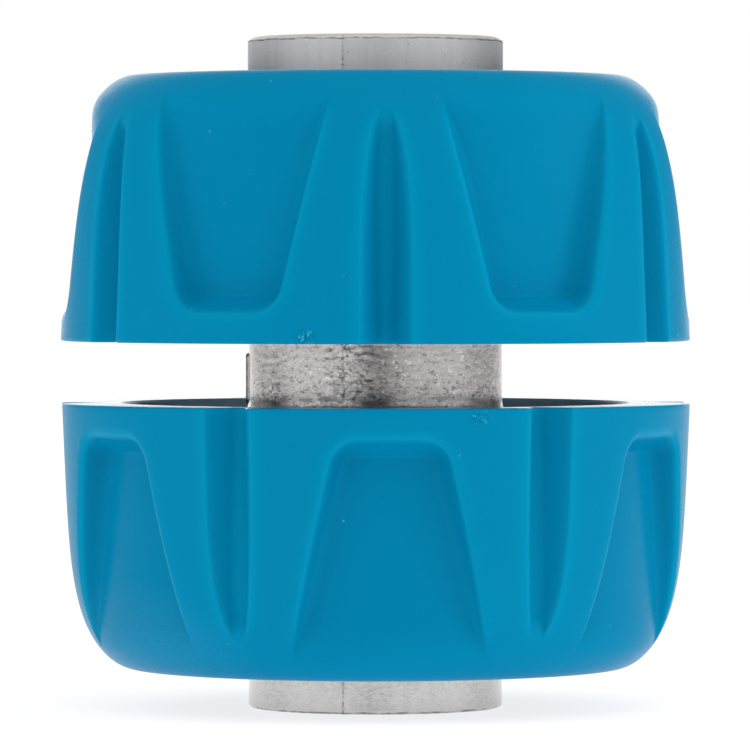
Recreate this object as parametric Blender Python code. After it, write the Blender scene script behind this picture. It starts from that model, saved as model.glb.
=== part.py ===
"""Hose mender: a die-cast core with two hose spigots, two split collets and two clamp nuts.

The mender stands on the end of its lower spigot, on the world origin, with its axis along +Z.
Each half is modelled once, as the upper half, with its origin in the middle of the mender.
The lower half is the same mesh turned over about X, so both threads stay right-handed.
"""

import math

import bmesh
import bpy
from mathutils import Matrix, Vector

MM = 0.001

# General fit between pieces that touch or run on each other
CLEARANCE = 0.3 * MM

# Hose that the mender joins
HOSE_BORE = 13.0 * MM
HOSE_WALL = 2.5 * MM
HOSE_ENTRY_CLEARANCE = 0.4 * MM

# Core: tube, barbs, threaded collars and the neck between them
TUBE_WALL = 1.5 * MM
TUBE_END_CHAMFER = 0.4 * MM
BARB_HEIGHT = 0.45 * MM
BARB_LENGTH = 2.2 * MM
BARB_COUNT = 3
COLLAR_THICKNESS = 3.6 * MM
COLLAR_CHAMFER = 0.4 * MM
NECK_FILLET = 1.8 * MM
NECK_FILLET_ROOM = 0.8

# Nuts: overall form, and how they stand on the core when screwed home
NUT_HEIGHT = 13.475 * MM
NUT_GAP = 3.15 * MM
SPIGOT_STAND_OUT = 2.05 * MM
COLLAR_RECESS = 1.1 * MM
NUT_WALL = 1.7 * MM
NUT_END_WALL = 2.0 * MM
GRIP_DEPTH = 1.58 * MM
NUT_EDGE_CHAMFER = 0.35 * MM

# Crown of the nut: side draft, then a superelliptic shoulder down to the flat end
SIDE_DRAFT = 0.043
CROWN_DROP = 2.95 * MM
CROWN_POWER = 5.1
CROWN_ROUNDING = 0.6

# Grip pattern: pockets and lancet grooves take turns round the nut
POCKET_COUNT = 6
POCKET_END = 1.35 * MM
POCKET_HALF_WIDTH = 2.68 * MM
POCKET_FLARE = 0.243
POCKET_WALL_SLOPE = 2.7
POCKET_LIP = 0.2 * MM
POCKET_LIP_DROP = 0.2
LEDGE_WIDTH = 0.95 * MM
GROOVE_HALF_WIDTH = 1.25 * MM
GROOVE_TIP_HALF_WIDTH = 0.2 * MM
GROOVE_BOTTOM_SHARE = 0.5
GROOVE_BOTTOM_DEPTH = 0.8
GROOVE_LENGTH = 11.9 * MM
GROOVE_TAPER_POWER = 4.0
GROOVE_TAPER_ROUNDING = 0.75
UPPER_GRIP_TURN = math.radians(32.0)
LOWER_GRIP_TURN = math.radians(-2.8)

# Thread between collar and nut: two starts, right-handed
THREAD_START_COUNT = 2
THREAD_LEAD = 4.0 * MM
THREAD_DEPTH = 0.75 * MM
THREAD_ROOT_WIDTH = 1.1 * MM
THREAD_CREST_WIDTH = 0.5 * MM
THREAD_ENGAGEMENT = 1.9 * MM
NUT_THREAD_LENGTH = 3.4 * MM
THREAD_SHOULDER = 0.2 * MM
THREAD_SINK = 0.15 * MM

# Collets: a closed base ring with tapered fingers that the nut's cone squeezes
COLLET_BASE_LENGTH = 1.7 * MM
COLLET_BASE_WALL = 1.9 * MM
COLLET_TIP_WALL = 1.0 * MM
COLLET_FINGER_COUNT = 8
COLLET_SLOT = 1.2 * MM
TOOTH_HEIGHT = 0.35 * MM
TOOTH_COUNT = 2
TOOTH_START_SHARE = 0.9
TOOTH_RAMP_SHARE = 0.8

# Facets
CORE_COLUMNS = 30
BORE_COLUMNS_PER_POCKET = 8
THREAD_STEPS_PER_TURN = 24
THREAD_FADE_STEPS = 3
FINGER_COLUMNS = 3
FILLET_STEPS = 3
CROWN_STEPS = 8
SMOOTH_ANGLE = math.radians(25.0)

# Places worked out from the sizes above, measured from the middle of the mender
TUBE_RADIUS = HOSE_BORE / 2
BORE_RADIUS = TUBE_RADIUS - TUBE_WALL
HOSE_RADIUS = TUBE_RADIUS + HOSE_WALL
NUT_MOUTH = NUT_GAP / 2
NUT_END = NUT_MOUTH + NUT_HEIGHT
TUBE_END = NUT_END + SPIGOT_STAND_OUT
COLLAR_INNER_FACE = NUT_MOUTH + COLLAR_RECESS
COLLAR_OUTER_FACE = COLLAR_INNER_FACE + COLLAR_THICKNESS
COLLET_BASE = COLLAR_OUTER_FACE + CLEARANCE
COLLET_FINGER_ROOT = COLLET_BASE + COLLET_BASE_LENGTH
COLLET_TIP = NUT_END - NUT_END_WALL - CLEARANCE
COLLET_INNER_RADIUS = HOSE_RADIUS + CLEARANCE
COLLET_BASE_RADIUS = COLLET_INNER_RADIUS + COLLET_BASE_WALL
COLLET_TIP_RADIUS = COLLET_INNER_RADIUS + COLLET_TIP_WALL
CONE_MOUTH_RADIUS = COLLET_BASE_RADIUS + CLEARANCE
CONE_END_RADIUS = COLLET_TIP_RADIUS + CLEARANCE
COLLAR_ROOT_RADIUS = CONE_MOUTH_RADIUS + THREAD_SHOULDER
COLLAR_CREST_RADIUS = COLLAR_ROOT_RADIUS + THREAD_DEPTH
NUT_BORE_RADIUS = COLLAR_CREST_RADIUS + CLEARANCE
NUT_CREST_RADIUS = NUT_BORE_RADIUS - THREAD_DEPTH
HOSE_ENTRY_RADIUS = HOSE_RADIUS + HOSE_ENTRY_CLEARANCE
GRIP_FLOOR_RADIUS = NUT_BORE_RADIUS + NUT_WALL
RIM_RADIUS = GRIP_FLOOR_RADIUS + GRIP_DEPTH
NUT_THREAD_START = COLLAR_OUTER_FACE - THREAD_ENGAGEMENT
NUT_THREAD_END = NUT_THREAD_START + NUT_THREAD_LENGTH
MIDDLE_HEIGHT = TUBE_END


def remove_scene_objects():
    for existing in list(bpy.data.objects):
        bpy.data.objects.remove(existing, do_unlink=True)


def make_material(name, colour, roughness, metallic):
    material = bpy.data.materials.new(name)
    material.use_nodes = True
    shader = material.node_tree.nodes["Principled BSDF"]
    shader.inputs["Base Color"].default_value = (*colour, 1.0)
    shader.inputs["Roughness"].default_value = roughness
    shader.inputs["Metallic"].default_value = metallic
    return material


def make_object(name, mesh, material):
    piece = bpy.data.objects.new(name, mesh)
    bpy.context.collection.objects.link(piece)
    if not mesh.materials:
        mesh.materials.append(material)
    return piece


def finish_mesh(name, shape):
    """Turn the bmesh into a shaded mesh whose faces point out."""
    bmesh.ops.triangulate(shape, faces=shape.faces, quad_method="SHORT_EDGE")
    bmesh.ops.recalc_face_normals(shape, faces=shape.faces)
    mesh = bpy.data.meshes.new(name)
    shape.to_mesh(mesh)
    shape.free()
    mesh.shade_smooth()
    mesh.set_sharp_from_angle(angle=SMOOTH_ANGLE)
    return mesh


def polar(radius, angle, height):
    return Vector((radius * math.cos(angle), radius * math.sin(angle), height))


def add_ring(shape, points):
    return [shape.verts.new(point) for point in points]


def even_angles(count):
    return [2 * math.pi * index / count for index in range(count)]


def bridge_rings(shape, first, second):
    """Join two rings; the first may have a whole number of points for each point of the second."""
    share = len(first) // len(second)
    for index in range(len(second)):
        after = (index + 1) % len(second)
        span = [first[(index * share + step) % len(first)] for step in range(share + 1)]
        if share == 1:
            shape.faces.new((span[0], span[1], second[after], second[index]))
            continue
        middle = share // 2
        for step in range(share):
            corner = second[index] if step < middle else second[after]
            shape.faces.new((span[step], span[step + 1], corner))
        shape.faces.new((span[middle], second[after], second[index]))


def revolve(shape, profile, columns):
    """Sweep a closed profile of (radius, height) points round the axis."""
    angles = even_angles(columns)
    rings = [add_ring(shape, [polar(r, a, z) for a in angles]) for r, z in profile]
    for index, ring in enumerate(rings):
        bridge_rings(shape, ring, rings[(index + 1) % len(rings)])


def add_thread(shape, root_radius, crest_radius, start, end, first_angle):
    """Add one helical ridge that tapers into its cylinder at both ends."""
    turns = (end - start - THREAD_ROOT_WIDTH) / THREAD_LEAD
    steps = max(4, round(turns * THREAD_STEPS_PER_TURN))
    outward = math.copysign(1.0, crest_radius - root_radius)
    sunk_radius = root_radius - outward * THREAD_SINK
    rings = []
    for step in range(steps + 1):
        angle = first_angle + 2 * math.pi * turns * step / steps
        height = start + THREAD_ROOT_WIDTH / 2 + THREAD_LEAD * turns * step / steps
        rise = min(1.0, (min(step, steps - step) + 0.5) / THREAD_FADE_STEPS)
        top = root_radius + (crest_radius - root_radius) * rise
        half_root = THREAD_ROOT_WIDTH / 2
        half_crest = half_root + (THREAD_CREST_WIDTH / 2 - half_root) * rise
        corners = (
            (sunk_radius, -half_root),
            (top, -half_crest),
            (top, half_crest),
            (sunk_radius, half_root),
        )
        rings.append(add_ring(shape, [polar(r, angle, height + z) for r, z in corners]))
    for first, second in zip(rings, rings[1:]):
        for index in range(len(first)):
            after = (index + 1) % len(first)
            shape.faces.new((first[index], first[after], second[after], second[index]))
    shape.faces.new(rings[0])
    shape.faces.new(rings[-1])


def thread_object(name, root_radius, crest_radius, start, end, angle_offset):
    """All starts of one thread, as a hidden mesh for a Boolean."""
    shape = bmesh.new()
    for turn in even_angles(THREAD_START_COUNT):
        add_thread(shape, root_radius, crest_radius, start, end, turn + angle_offset)
    ridges = bpy.data.objects.new(name, finish_mesh(name, shape))
    bpy.context.collection.objects.link(ridges)
    ridges.hide_render = True
    ridges.display_type = "WIRE"
    return ridges


def helix_angle(height):
    """Angle at which a ridge of the core passes a height."""
    return 2 * math.pi * height / THREAD_LEAD


def fuse(piece, ridges):
    union = piece.modifiers.new("Thread", "BOOLEAN")
    union.operation = "UNION"
    union.object = ridges
    union.solver = "EXACT"


def spigot_profile():
    """Outline of the upper half of the core's outer side, from the neck to the tube end."""
    outline = []
    fillet = min(NECK_FILLET, NECK_FILLET_ROOM * COLLAR_INNER_FACE)
    for step in range(FILLET_STEPS + 1):
        angle = math.pi / 2 * step / FILLET_STEPS
        radius = TUBE_RADIUS - fillet * (math.cos(angle) - 1)
        outline.append((radius, COLLAR_INNER_FACE - fillet * (1 - math.sin(angle))))
    outline.append((COLLAR_ROOT_RADIUS - COLLAR_CHAMFER, COLLAR_INNER_FACE))
    outline.append((COLLAR_ROOT_RADIUS, COLLAR_INNER_FACE + COLLAR_CHAMFER))
    outline.append((COLLAR_ROOT_RADIUS, COLLAR_OUTER_FACE - COLLAR_CHAMFER))
    outline.append((COLLAR_ROOT_RADIUS - COLLAR_CHAMFER, COLLAR_OUTER_FACE))
    outline.append((TUBE_RADIUS, COLLAR_OUTER_FACE))
    room = NUT_END - NUT_END_WALL - COLLAR_OUTER_FACE
    barb_length = min(BARB_LENGTH, room / BARB_COUNT)
    first_barb = NUT_END - NUT_END_WALL - BARB_COUNT * barb_length
    for barb in range(BARB_COUNT):
        shoulder = first_barb + barb * barb_length
        outline.append((TUBE_RADIUS, shoulder))
        outline.append((TUBE_RADIUS + BARB_HEIGHT, shoulder + BARB_HEIGHT / 4))
    outline.append((TUBE_RADIUS, NUT_END - NUT_END_WALL))
    outline.append((TUBE_RADIUS, TUBE_END - TUBE_END_CHAMFER))
    outline.append((TUBE_RADIUS - TUBE_END_CHAMFER, TUBE_END))
    outline.append((BORE_RADIUS + TUBE_END_CHAMFER, TUBE_END))
    outline.append((BORE_RADIUS, TUBE_END - TUBE_END_CHAMFER))
    return outline


def make_core(material):
    upper = spigot_profile()
    lower = [(radius, -height) for radius, height in reversed(upper)]
    shape = bmesh.new()
    revolve(shape, lower + upper, CORE_COLUMNS)
    core = make_object("core_body", finish_mesh("core_body", shape), material)
    core.location = (0.0, 0.0, MIDDLE_HEIGHT)
    first = COLLAR_INNER_FACE + COLLAR_CHAMFER / 2
    last = COLLAR_OUTER_FACE - COLLAR_CHAMFER / 2
    angle = helix_angle(first + THREAD_ROOT_WIDTH / 2)
    for name, flip in (("upper_thread", 0.0), ("lower_thread", math.pi)):
        ridges = thread_object(name, COLLAR_ROOT_RADIUS, COLLAR_CREST_RADIUS, first, last, angle)
        ridges.parent = core
        ridges.rotation_euler = (flip, 0.0, 0.0)
        fuse(core, ridges)
    return core


def envelope_radius(height):
    """Outer radius of the nut without its grip pattern, at a height above its mouth."""
    share = min(1.0, height / NUT_HEIGHT)
    crown = 1 - (1 - share**CROWN_POWER) ** CROWN_ROUNDING
    return RIM_RADIUS - SIDE_DRAFT * height - CROWN_DROP * crown


def groove_half_angle(height):
    share = min(1.0, height / GROOVE_LENGTH)
    taper = (1 - share**GROOVE_TAPER_POWER) ** GROOVE_TAPER_ROUNDING
    return max(GROOVE_TIP_HALF_WIDTH, GROOVE_HALF_WIDTH * taper) / RIM_RADIUS


def pocket_half_angle(height):
    """Half angle of a pocket at its lips; it widens from its closed end to the crown."""
    return (POCKET_HALF_WIDTH + POCKET_FLARE * (height - POCKET_END)) / RIM_RADIUS


def floor_depth(height):
    return max(0.0, envelope_radius(height) - GRIP_FLOOR_RADIUS)


def grip_row(height, share_of_ledge):
    """One row of (angle, depth share) points from a groove's centre to the next pocket's centre."""
    groove = groove_half_angle(height)
    pitch = math.pi / POCKET_COUNT
    edge = pitch - pocket_half_angle(height)
    lip = POCKET_LIP / RIM_RADIUS
    foot = edge + lip + floor_depth(height) / POCKET_WALL_SLOPE / RIM_RADIUS
    return [
        (0.0, 1.0),
        (groove * GROOVE_BOTTOM_SHARE, GROOVE_BOTTOM_DEPTH),
        (groove, 0.0),
        ((groove + edge) / 2, 0.0),
        (edge - lip, 0.0),
        (edge + lip / 2, min(share_of_ledge, POCKET_LIP_DROP)),
        (foot, share_of_ledge),
        ((foot + pitch) / 2, share_of_ledge),
        (pitch, share_of_ledge),
    ]


def full_row(half_row):
    """Mirror a half sector and repeat it round the nut."""
    sector = 2 * math.pi / POCKET_COUNT
    mirrored = [(sector - angle, depth) for angle, depth in reversed(half_row[1:-1])]
    row = half_row + mirrored
    return [(turn + a, depth) for turn in even_angles(POCKET_COUNT) for a, depth in row]


def nut_side_heights():
    """Heights of the rows of the nut's side, with the pocket's share of its depth in each."""
    rows = [
        (0.0, 0.0),
        (POCKET_END - POCKET_LIP, 0.0),
        (POCKET_END + POCKET_LIP / 2, POCKET_LIP_DROP),
        (POCKET_END + LEDGE_WIDTH, 1.0),
    ]
    base = rows[-1][0]
    for step in range(1, CROWN_STEPS + 1):
        rise = math.sin(math.pi / 2 * step / CROWN_STEPS)
        rows.append((base + (NUT_HEIGHT - base) * rise, 1.0))
    return rows


def nut_side_rings(shape):
    rings = []
    for height, share_of_ledge in nut_side_heights():
        outer = envelope_radius(height)
        depth = floor_depth(height)
        row = full_row(grip_row(height, share_of_ledge))
        points = [polar(outer - share * depth, a, NUT_MOUTH + height) for a, share in row]
        rings.append(add_ring(shape, points))
    return rings


def nut_inner_profile():
    """Inside of the nut as (radius, height) points, from the hose entry to the mouth."""
    end_wall = NUT_END - NUT_END_WALL
    cone_mouth = max(COLLET_BASE, NUT_THREAD_END)
    cone_mouth_radius = finger_radius(cone_mouth) + CLEARANCE
    return [
        (HOSE_ENTRY_RADIUS + NUT_EDGE_CHAMFER, NUT_END),
        (HOSE_ENTRY_RADIUS, NUT_END - NUT_EDGE_CHAMFER),
        (HOSE_ENTRY_RADIUS, end_wall),
        (CONE_END_RADIUS, end_wall),
        (cone_mouth_radius, cone_mouth),
        (NUT_BORE_RADIUS, cone_mouth),
        (NUT_BORE_RADIUS, NUT_MOUTH + NUT_EDGE_CHAMFER),
        (NUT_BORE_RADIUS + NUT_EDGE_CHAMFER, NUT_MOUTH),
    ]


def make_nut_mesh(grip_turn):
    shape = bmesh.new()
    side = nut_side_rings(shape)
    for first, second in zip(side, side[1:]):
        bridge_rings(shape, first, second)
    angles = even_angles(POCKET_COUNT * BORE_COLUMNS_PER_POCKET)
    inside = [add_ring(shape, [polar(r, a, z) for a in angles]) for r, z in nut_inner_profile()]
    bridge_rings(shape, side[-1], inside[0])
    for first, second in zip(inside, inside[1:]):
        bridge_rings(shape, first, second)
    bridge_rings(shape, side[0], inside[-1])
    shape.transform(Matrix.Rotation(grip_turn, 4, "Z"))
    return finish_mesh("clamp_nut", shape)


def make_collet_mesh():
    """Base ring and fingers, as the cells of one lattice that are filled."""
    rows = collet_rows()
    angles, filled = collet_columns()
    base_rows = 1
    shape = bmesh.new()
    outer = [add_ring(shape, [polar(r, a, z) for a in angles]) for z, _, r in rows]
    inner = [add_ring(shape, [polar(r, a, z) for a in angles]) for z, r, _ in rows]
    count = len(angles)

    def is_filled(column, row):
        if row < 0 or row >= len(rows) - 1:
            return False
        return row < base_rows or filled[column % count]

    for row in range(len(rows) - 1):
        for column in range(count):
            if not is_filled(column, row):
                continue
            after = (column + 1) % count
            near, far = (outer[row], outer[row + 1]), (inner[row], inner[row + 1])
            for low, high in (near, far):
                shape.faces.new((low[column], low[after], high[after], high[column]))
            for side, neighbour in ((column, column - 1), (after, column + 1)):
                if not is_filled(neighbour, row):
                    corners = (near[0][side], near[1][side], far[1][side], far[0][side])
                    shape.faces.new(corners)
            for level, neighbour in ((0, row - 1), (1, row + 1)):
                if not is_filled(column, neighbour):
                    skin, core = near[level], far[level]
                    shape.faces.new((skin[column], skin[after], core[after], core[column]))
    unused = [vertex for vertex in shape.verts if not vertex.link_faces]
    bmesh.ops.delete(shape, geom=unused, context="VERTS")
    return finish_mesh("split_collet", shape)


def collet_rows():
    """Rows of (height, inner radius, outer radius); the fingers carry gripping teeth inside."""
    length = COLLET_TIP - COLLET_FINGER_ROOT
    tooth_length = length / (TOOTH_COUNT + 1)
    rows = [
        (COLLET_BASE, COLLET_INNER_RADIUS, COLLET_BASE_RADIUS),
        (COLLET_FINGER_ROOT, COLLET_INNER_RADIUS, finger_radius(COLLET_FINGER_ROOT)),
    ]
    for tooth in range(TOOTH_COUNT):
        foot = COLLET_FINGER_ROOT + (tooth + TOOTH_START_SHARE) * tooth_length
        crest = foot + TOOTH_RAMP_SHARE * tooth_length
        tooth_radius = COLLET_INNER_RADIUS - TOOTH_HEIGHT
        rows.append((foot, COLLET_INNER_RADIUS, finger_radius(foot)))
        rows.append((crest, tooth_radius, finger_radius(crest)))
    rows.append((COLLET_TIP, COLLET_INNER_RADIUS, finger_radius(COLLET_TIP)))
    return rows


def finger_radius(height):
    """Outer radius of a finger, which runs parallel to the nut's cone."""
    share = (height - COLLET_BASE) / (COLLET_TIP - COLLET_BASE)
    return COLLET_BASE_RADIUS + (COLLET_TIP_RADIUS - COLLET_BASE_RADIUS) * share


def collet_columns():
    """Column angles round the collet, and which columns belong to a finger."""
    pitch = 2 * math.pi / COLLET_FINGER_COUNT
    slot_angle = COLLET_SLOT / COLLET_INNER_RADIUS
    finger_step = (pitch - slot_angle) / FINGER_COLUMNS
    angles = []
    filled = []
    for finger in range(COLLET_FINGER_COUNT):
        first = finger * pitch + slot_angle / 2
        for column in range(FINGER_COLUMNS + 1):
            angles.append(first + column * finger_step)
            filled.append(column < FINGER_COLUMNS)
    return angles, filled


def make_collet(name, material, flip):
    collet = make_object(name, make_collet_mesh(), material)
    collet.location = (0.0, 0.0, MIDDLE_HEIGHT)
    collet.rotation_euler = (flip, 0.0, 0.0)


def make_nut(name, material, flip, grip_turn):
    """Nut with its thread, which lies midway between the ridges of the core."""
    nut = make_object(name, make_nut_mesh(grip_turn), material)
    nut.location = (0.0, 0.0, MIDDLE_HEIGHT)
    nut.rotation_euler = (flip, 0.0, 0.0)
    half_pitch = THREAD_LEAD / THREAD_START_COUNT / 2
    angle = helix_angle(NUT_THREAD_START + THREAD_ROOT_WIDTH / 2 - half_pitch)
    span = (NUT_THREAD_START, NUT_THREAD_END)
    ridges = thread_object(name + "_thread", NUT_BORE_RADIUS, NUT_CREST_RADIUS, *span, angle)
    ridges.parent = nut
    fuse(nut, ridges)


remove_scene_objects()
make_core(make_material("cast_metal", (0.47, 0.47, 0.47), 0.42, 1.0))
for prefix, flip, grip_turn in (
    ("upper", 0.0, UPPER_GRIP_TURN),
    ("lower", math.pi, LOWER_GRIP_TURN),
):
    blue_plastic = make_material(prefix + "_blue_plastic", (0.0, 0.25, 0.46), 0.35, 0.0)
    grey_plastic = make_material(prefix + "_grey_plastic", (0.10, 0.11, 0.12), 0.45, 0.0)
    make_collet(prefix + "_collet", grey_plastic, flip)
    make_nut(prefix + "_nut", blue_plastic, flip, grip_turn)
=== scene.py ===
import math

import bpy
import numpy as np
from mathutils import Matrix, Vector, noise


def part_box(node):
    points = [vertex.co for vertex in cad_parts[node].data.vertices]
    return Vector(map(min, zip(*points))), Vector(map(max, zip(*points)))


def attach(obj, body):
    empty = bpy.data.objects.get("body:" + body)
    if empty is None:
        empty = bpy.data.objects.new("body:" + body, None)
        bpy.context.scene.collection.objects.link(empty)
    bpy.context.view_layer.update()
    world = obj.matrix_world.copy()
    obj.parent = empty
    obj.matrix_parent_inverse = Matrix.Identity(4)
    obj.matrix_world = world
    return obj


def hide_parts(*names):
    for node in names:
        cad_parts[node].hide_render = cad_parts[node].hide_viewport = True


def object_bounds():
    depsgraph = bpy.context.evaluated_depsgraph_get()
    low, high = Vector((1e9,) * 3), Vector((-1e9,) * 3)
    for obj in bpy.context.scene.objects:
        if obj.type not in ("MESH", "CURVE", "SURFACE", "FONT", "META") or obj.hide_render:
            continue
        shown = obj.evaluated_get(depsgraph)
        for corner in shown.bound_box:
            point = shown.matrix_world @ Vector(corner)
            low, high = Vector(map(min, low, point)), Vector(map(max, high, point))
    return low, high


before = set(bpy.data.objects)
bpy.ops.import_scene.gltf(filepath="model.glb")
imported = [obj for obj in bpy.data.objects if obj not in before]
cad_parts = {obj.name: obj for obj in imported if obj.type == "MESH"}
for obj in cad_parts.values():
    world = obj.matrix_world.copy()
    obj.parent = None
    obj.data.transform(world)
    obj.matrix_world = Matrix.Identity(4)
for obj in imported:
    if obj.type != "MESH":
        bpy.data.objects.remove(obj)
cad_low, cad_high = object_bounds()

MM = 0.001

# Places read from the frame
MIDDLE = (cad_low.z + cad_high.z) / 2
TUBE_END = (cad_high.z - cad_low.z) / 2
NUT_LOW, NUT_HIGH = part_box("upper_nut")
NUT_MOUTH = NUT_LOW[2] - MIDDLE
NUT_HEIGHT = NUT_HIGH[2] - NUT_LOW[2]
NUT_END = NUT_MOUTH + NUT_HEIGHT
COLLET_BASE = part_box("upper_collet")[0][2] - MIDDLE

# Core
TUBE_RADIUS = 6.5 * MM
LOWER_TUBE_RADIUS = 6.45 * MM
NECK_RADIUS = 6.46 * MM
BORE_RADIUS = 5.0 * MM
UPPER_END_DROP = 0.07 * MM
UPPER_BEVEL = (0.38 * MM, 0.2 * MM)
LOWER_BEVEL = (0.16 * MM, 0.12 * MM)
BORE_CHAMFER = 0.4 * MM
COLLAR_INNER_FACE = NUT_MOUTH + 1.1 * MM
COLLAR_OUTER_FACE = COLLET_BASE - 0.3 * MM
COLLAR_CHAMFER = 0.4 * MM
NECK_FILLET = 1.27 * MM
BARB_HEIGHT = 0.45 * MM
BARB_LENGTH = 2.2 * MM
BARB_COUNT = 3
NUT_END_WALL = 2.0 * MM

# Rounding of a tube end: inset and drop of each row, as shares of the bevel's width and height
BEVEL_ROUNDING = (
    (0.02, 1.1),
    (0.1, 0.92),
    (0.25, 0.74),
    (0.5, 0.45),
    (0.75, 0.18),
    (0.95, 0.02),
    (1.2, 0.0),
)
ROWS_BEFORE_BEVEL = 1.3

# Rows and columns of the core; the columns crowd at the parting lines
CORE_COLUMNS = 384
SEAM_CROWDING = 0.35
NECK_ROWS = 33
NECK_ROWS_GAP = 0.03 * MM
COLLAR_ROWS = 30
END_ROWS = 40
FACE_ROWS = (0.45, 0.6, 0.75)

# Relief of the core's cast skin; lengths in millimetres
SKIN_WAVE_HEIGHT = 0.012
SKIN_WAVE_SCALE = 0.35
WRINKLE_HEIGHT = 0.006
WRINKLE_SCALES = (2.2, 5.0)
PIT_DEPTH = 0.04
PIT_SCALES = (3.4, 4.2)
PIT_LEVEL = 0.45
PIT_SHIFT = Vector((7.1, 3.3, 9.7))
NECK_SKIN_END = 3.3
NECK_SKIN_FADE = 1.5
FACE_DENTS = 0.6

# Roughness of the cast skin: everywhere, on the neck, and on the neck by a parting line
PLAIN_ROUGHNESS = 0.15
NECK_ROUGHNESS = 0.3
SEAM_ROUGHNESS = 1.0
SEAM_ROUGHNESS_WIDTH = 1.1

# Parting lines, and the flash rib of the neck; lengths in millimetres
SEAM_ANGLE = math.radians(-104.6)
SEAM_HEIGHT = 0.035
SEAM_WIDTH = 0.07
SEAM_MEAN = 0.55
SEAM_WAVE_SCALE = 1.9
SEAM_WAVE_PLACE = (0.3, 5.7)
FLASH_RIB_ANGLE = math.radians(180.5)
FLASH_RIB_HALF_WIDTH = 0.2
FLASH_RIB_FLANK = 0.12
FLASH_RIB_HEIGHT = 0.15
FLASH_RIB_TOP = 0.93
FLASH_RIB_TOP_FADE = 0.06
FLASH_RIB_BOTTOM = -1.7
FLASH_RIB_BOTTOM_FADE = 0.2

# Thread
THREAD_STARTS = 2
THREAD_LEAD = 4.0 * MM
THREAD_DEPTH = 0.75 * MM
THREAD_ROOT_WIDTH = 1.1 * MM
THREAD_CREST_WIDTH = 0.5 * MM
THREAD_RUN_OUT = 0.5 * MM
COLLAR_ROOT_RADIUS = 11.7 * MM
NUT_BORE_RADIUS = 12.75 * MM
NUT_THREAD_START = COLLAR_OUTER_FACE - 1.9 * MM
NUT_THREAD_LENGTH = 3.4 * MM

# Nut
GRIP_FLOOR_RADIUS = 14.45 * MM
RIM_RADIUS = 16.03 * MM
HOSE_ENTRY_RADIUS = 9.4 * MM
CONE_MOUTH_RADIUS = 11.33 * MM
CONE_END_RADIUS = 10.6 * MM
RIM_ROUNDING = 0.12 * MM
SIDE_DRAFT = 0.043
CROWN_DROP = 2.95 * MM
CROWN_POWER = 5.1
CROWN_ROUNDING = 0.6

# Roundings of the nut's openings: what each row adds to the radius, and its depth in the nut
ENTRY_ROUNDING = ((0.35 * MM, 0.0), (0.2 * MM, 0.03 * MM), (0.06 * MM, 0.12 * MM), (0.0, 0.3 * MM))
MOUTH_ROUNDING = ((0.0, 0.4 * MM), (0.08 * MM, 0.12 * MM), (0.25 * MM, 0.0))

# Grip: six pockets, and a groove between each two
POCKET_COUNT = 6
POCKET_END = 1.47 * MM
POCKET_HALF_WIDTH = 2.8 * MM
POCKET_FLARE = 0.243
POCKET_CORNER = 1.25 * MM
GROOVE_HALF_WIDTH = 1.15 * MM
GROOVE_LENGTH = 11.5 * MM
GROOVE_RUN_OUT = 1.3 * MM
GROOVE_TIP_POWER = 4.0
GROOVE_TIP_ROUNDING = 0.55
SIDE_SLOPE = 3.0
LEDGE_SLOPE = 1.7
GROOVE_SLOPE = 1.75
SIDE_LIP_RADIUS = 0.55 * MM
LEDGE_LIP_RADIUS = 0.85 * MM
SIDE_FOOT_RADIUS = 0.8 * MM
LEDGE_FOOT_RADIUS = 0.12 * MM
GROOVE_LIP_RADIUS = 0.45 * MM
GROOVE_FOOT_RADIUS = 0.6 * MM
FLOOR_RUN_OUT = 0.4 * MM
ROUNDED_SHARE = 0.95
LEAST_FLOOR = 0.002 * MM
LEAST_LENGTH = 0.001 * MM
UPPER_GRIP_TURN = math.radians(32.0)
LOWER_GRIP_TURN = math.radians(-2.8)

# Painted light and shade that the plastic's colours follow: painted highlights on the lips, painted
# shade on the pocket walls, painted light in the grooves
LIP_BAND_START = -0.12 * MM
LIP_BAND_RISE = 0.15 * MM
LIP_BAND_WIDTH = 0.27 * MM
GROOVE_BAND_OFFSET = 0.15 * MM
GROOVE_PAINTED_LIGHT_RISE = 0.6 * MM
WALL_SHADE_RISE = 0.5 * MM
WALL_SHADE_START = 0.65 * MM
WALL_SHADE_WIDTH = 0.8 * MM
SHADE_FADE_DEPTH = 0.6 * MM
MARKED_SKIN = 0.5 * MM

# Columns of half a grip sector: groove bottom, groove wall, land, pocket wall, pocket floor
GRIP_COLUMNS = (4, 14, 8, 18, 6)
GROOVE_LEAST_HALF = 0.3 * MM
GROOVE_BOTTOM_SHARE = 0.3
LIP_COLUMNS_REACH = 0.35 * MM
WALL_COLUMNS_REACH = 0.8 * MM

# Rows of a nut, from the rim by the mouth to the crown, and down the thread inside
RIM_STEPS = 4
RIM_ROWS = (1.0, 2.5)
LEDGE_ROWS = 30
LEDGE_ROWS_BEFORE = 0.45 * MM
LEDGE_ROWS_BEYOND = 1.25 * MM
CROWN_ROWS = 61
NUT_THREAD_ROWS = 35

# Gloss of the plastic: hardly any where it faces the eye, white at a grazing angle
PLASTIC_IOR = 1.075

# Gate scars and centres of the painted sheen: azimuth from the front, positive to the right, and height
# from the mouth
UPPER_SCAR = (-12.5, 0.35 * MM)
LOWER_SCAR = (18.6, 0.45 * MM)
UPPER_SHEEN = (-100.0, 11.0 * MM)
LOWER_SHEEN = (-58.0, 12.6 * MM)
UPPER_SHEEN_REACH = 3.0
LOWER_SHEEN_REACH = 9.0
SHEEN_FLATNESS = 2.2

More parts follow.
